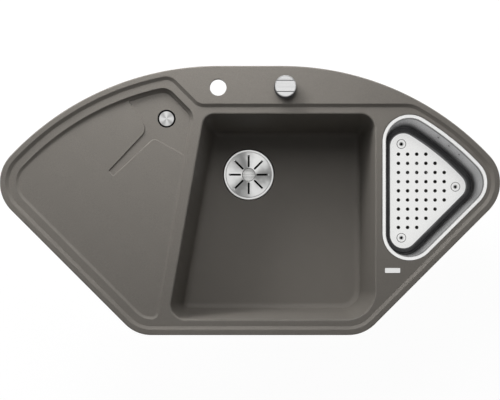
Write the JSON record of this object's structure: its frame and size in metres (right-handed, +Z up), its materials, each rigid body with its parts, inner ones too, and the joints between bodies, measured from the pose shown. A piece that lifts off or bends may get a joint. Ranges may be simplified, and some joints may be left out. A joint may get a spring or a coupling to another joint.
{
  "type": "corner kitchen sink",
  "caption": "Inset composite corner sink with a drainer and overflow, a deep main bowl with a knob-worked pop-up waste, and a small bowl with a lift-out perforated steel colander.",
  "frame": {"origin": "middle of the rim outline in plan, in the plane of the worktop on which the rim rests", "axes": "+X to the right along the length, +Y to the back corner of the worktop, +Z up"},
  "size_m": [1.05, 0.565, 0.3868],
  "materials": {
    "composite": "matte fine-grained granite composite, warm grey",
    "brushed_steel": "satin to polished stainless steel",
    "chrome": "polished chrome",
    "dark_metal": "dark ring and threaded sleeve",
    "zinc": "zinc-plated steel",
    "black_plastic": "black moulded plastic",
    "grey_plastic": "light grey moulded plastic",
    "white_plastic": "off-white plastic",
    "rubber": "black rubber"
  },
  "bodies": {
    "sink": {"sink_body": "composite", "waste_flange": "brushed_steel", "overflow_cap": "brushed_steel", "small_waste_grille": "brushed_steel", "small_waste_screw": "brushed_steel", "knob_base": "dark_metal", "cable_ferrule_top": "zinc", "cable_ferrule_bottom": "zinc", "overflow_screw": "zinc", "clamp_screw_back_left": "zinc", "clamp_screw_back_right": "zinc", "clamp_screw_side_right": "zinc", "clamp_screw_front_right": "zinc", "clamp_screw_front_left": "zinc", "clamp_screw_side_left": "zinc", "knob_locknut": "black_plastic", "drum_housing": "black_plastic", "bowden_cable": "black_plastic", "overflow_seat": "black_plastic", "overflow_elbow": "black_plastic", "lift_guide": "black_plastic", "hose_nut_top": "black_plastic", "hose_nut_bottom": "black_plastic", "union_nut_main": "black_plastic", "union_nut_tee_left": "black_plastic", "union_nut_tee_right": "black_plastic", "union_nut_elbow_side": "black_plastic", "union_nut_elbow_top": "black_plastic", "waste_ring_nut": "grey_plastic", "waste_body": "grey_plastic", "overflow_hose": "grey_plastic", "small_waste_body": "grey_plastic", "main_branch_pipe": "grey_plastic", "small_branch_pipe": "grey_plastic", "outlet_tee": "grey_plastic", "small_elbow": "grey_plastic", "waste_seal_upper": "rubber", "waste_seal_lower": "rubber", "overflow_seal": "rubber", "small_waste_seal": "rubber"},
    "knob": {"control_knob": "chrome", "cable_drum": "zinc"},
    "strainer": {"strainer_plate": "brushed_steel", "strainer_button": "brushed_steel", "strainer_cup": "grey_plastic", "strainer_seal": "rubber"},
    "lift_pin": {"lift_pin": "zinc"},
    "colander": {"colander": "brushed_steel", "colander_foot_back": "white_plastic", "colander_foot_side": "white_plastic", "colander_foot_front": "white_plastic"},
    "claw_back_left": {"clamp_claw_back_left": "black_plastic"},
    "claw_back_right": {"clamp_claw_back_right": "black_plastic"},
    "claw_side_right": {"clamp_claw_side_right": "black_plastic"},
    "claw_front_right": {"clamp_claw_front_right": "black_plastic"},
    "claw_front_left": {"clamp_claw_front_left": "black_plastic"},
    "claw_side_left": {"clamp_claw_side_left": "black_plastic"}
  },
  "joints": [
    {"name": "knob_turn", "type": "hinge", "parent": "sink", "child": "knob", "pos_m": [0.074, 0.2372, 0.02], "axis": [0, 0, 1], "range_deg": [0, 90]},
    {"name": "strainer_lift", "type": "slide", "parent": "sink", "child": "strainer", "axis": [0, 0, 1], "range_m": [0, 0.01]},
    {"name": "pin_lift", "type": "slide", "parent": "sink", "child": "lift_pin", "axis": [0, 0, 1], "range_m": [0, 0.01]},
    {"name": "colander_lift", "type": "slide", "parent": "sink", "child": "colander", "axis": [0, 0, 1], "range_m": [0, 0.15]},
    {"name": "claw_swing_back_left", "type": "hinge", "parent": "sink", "child": "claw_back_left", "pos_m": [-0.14, 0.243, -0.055], "axis": [0, 0, 1], "range_deg": [0, 90]},
    {"name": "claw_swing_back_right", "type": "hinge", "parent": "sink", "child": "claw_back_right", "pos_m": [0.18, 0.237, -0.055], "axis": [0, 0, 1], "range_deg": [0, 90]},
    {"name": "claw_swing_side_right", "type": "hinge", "parent": "sink", "child": "claw_side_right", "pos_m": [0.285, 0.198, -0.055], "axis": [0, 0, 1], "range_deg": [-90, 0]},
    {"name": "claw_swing_front_right", "type": "hinge", "parent": "sink", "child": "claw_front_right", "pos_m": [0.3, -0.172, -0.055], "axis": [0, 0, 1], "range_deg": [-90, 0]},
    {"name": "claw_swing_front_left", "type": "hinge", "parent": "sink", "child": "claw_front_left", "pos_m": [-0.19, -0.247, -0.055], "axis": [0, 0, 1], "range_deg": [0, 90]},
    {"name": "claw_swing_side_left", "type": "hinge", "parent": "sink", "child": "claw_side_left", "pos_m": [-0.33, -0.142, -0.055], "axis": [0, 0, 1], "range_deg": [0, 90]}
  ],
  "couplings": [
    {"joint": "knob_turn", "follows": "strainer_lift", "rad_per_m": 157.08},
    {"joint": "pin_lift", "follows": "strainer_lift", "ratio": 1}
  ]
}
